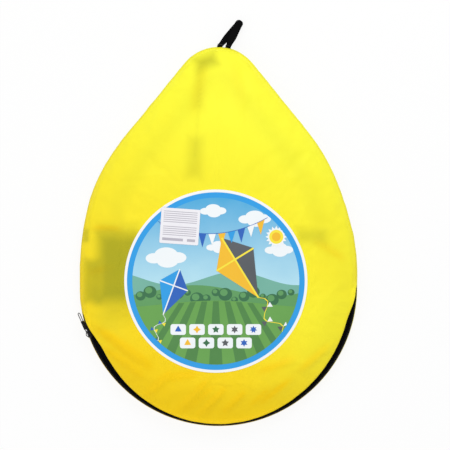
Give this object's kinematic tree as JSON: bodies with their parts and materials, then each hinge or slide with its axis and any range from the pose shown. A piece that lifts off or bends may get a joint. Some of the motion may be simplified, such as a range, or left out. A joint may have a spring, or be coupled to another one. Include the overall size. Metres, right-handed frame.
{
  "type": "packed pop-up goal set",
  "caption": "Pop-up goal set folded flat in an egg-shaped zipped carry bag with a hanging loop and a round front label; a ball and a hand pump lie inside.",
  "frame": {"origin": "centre of the bag's round end, on the floor under the back panel", "axes": "+Z out of the labelled front, +Y towards the carry loop at the tip, +X to the right"},
  "size_m": [0.4197, 0.6109, 0.0463],
  "materials": {
    "yellow_cloth": "thin woven polyester, satin",
    "black_tape": "woven zip tape",
    "black_nylon": "nylon coil",
    "black_metal": "black lacquer",
    "black_webbing": "woven webbing",
    "printed_film": "printed film",
    "white_paper": "matt white label",
    "spring_steel": "drawn wire",
    "orange_sleeve": "woven sleeve",
    "dark_net": "knotless net",
    "black_pocket": "sewn cloth",
    "clear_tip": "moulded",
    "ball_rubber": "matt",
    "black_rubber": "matt",
    "blue_plastic": "moulded",
    "white_plastic": "moulded",
    "bright_steel": "plated"
  },
  "bodies": {
    "bag": {"back_panel": "yellow_cloth", "ball_valve": "black_rubber", "deflated_ball": "ball_rubber", "front_panel": "yellow_cloth", "goal_1_arch_sleeve": "orange_sleeve", "goal_1_arch_tip_left": "clear_tip", "goal_1_arch_tip_right": "clear_tip", "goal_1_arch_wire": "spring_steel", "goal_1_base_sleeve": "orange_sleeve", "goal_1_base_tip_left": "clear_tip", "goal_1_base_tip_right": "clear_tip", "goal_1_base_wire": "spring_steel", "goal_1_corner_left": "black_pocket", "goal_1_corner_right": "black_pocket", "goal_1_net": "dark_net", "goal_2_arch_sleeve": "orange_sleeve", "goal_2_arch_tip_left": "clear_tip", "goal_2_arch_tip_right": "clear_tip", "goal_2_arch_wire": "spring_steel", "goal_2_base_sleeve": "orange_sleeve", "goal_2_base_tip_left": "clear_tip", "goal_2_base_tip_right": "clear_tip", "goal_2_base_wire": "spring_steel", "goal_2_corner_left": "black_pocket", "goal_2_corner_right": "black_pocket", "goal_2_net": "dark_net", "info_sticker": "white_paper", "pump_barrel": "blue_plastic", "pump_collar": "white_plastic", "pump_needle": "bright_steel", "pump_nozzle_cap": "white_plastic", "round_label": "printed_film", "zip_stop_left": "black_metal", "zip_stop_right": "black_metal", "zip_tape_back": "black_tape", "zip_tape_front_left": "black_tape", "zip_tape_front_right": "black_tape", "zip_teeth_back": "black_nylon", "zip_teeth_front_left": "black_nylon", "zip_teeth_front_right": "black_nylon"},
    "mouth_flap": {"mouth_flap": "yellow_cloth", "zip_tape_front_mouth": "black_tape", "zip_teeth_front_mouth": "black_nylon"},
    "zip_slider": {"zip_slider": "black_metal"},
    "zip_pull": {"zip_pull": "black_metal"},
    "carry_loop": {"carry_loop": "black_webbing"},
    "pump_plunger": {"pump_rod": "bright_steel", "pump_piston": "black_rubber", "pump_handle": "blue_plastic"}
  },
  "joints": [
    {"name": "zip_slider_travel", "type": "hinge", "parent": "bag", "child": "zip_slider", "pos_m": [0, 0, 0], "axis": [0, 0, 1], "range_deg": [0, 155]},
    {"name": "zip_pull_swing", "type": "hinge", "parent": "zip_slider", "child": "zip_pull", "pos_m": [-0.19575, -0.07028, 0.02417], "axis": [0.5922, 0.2126, 0.7772], "range_deg": [0, 150]},
    {"name": "mouth_flap_lift", "type": "hinge", "parent": "bag", "child": "mouth_flap", "pos_m": [0, -0.1322, 0.0449], "axis": [-1, 0, 0], "range_deg": [0, 110]},
    {"name": "carry_loop_swing", "type": "hinge", "parent": "bag", "child": "carry_loop", "pos_m": [0.00815, 0.36176, 0.0159], "axis": [0.9925, -0.1219, 0], "range_deg": [-2, 105]},
    {"name": "pump_stroke", "type": "slide", "parent": "bag", "child": "pump_plunger", "axis": [0, 1, 0], "range_m": [0, 0.06]}
  ]
}
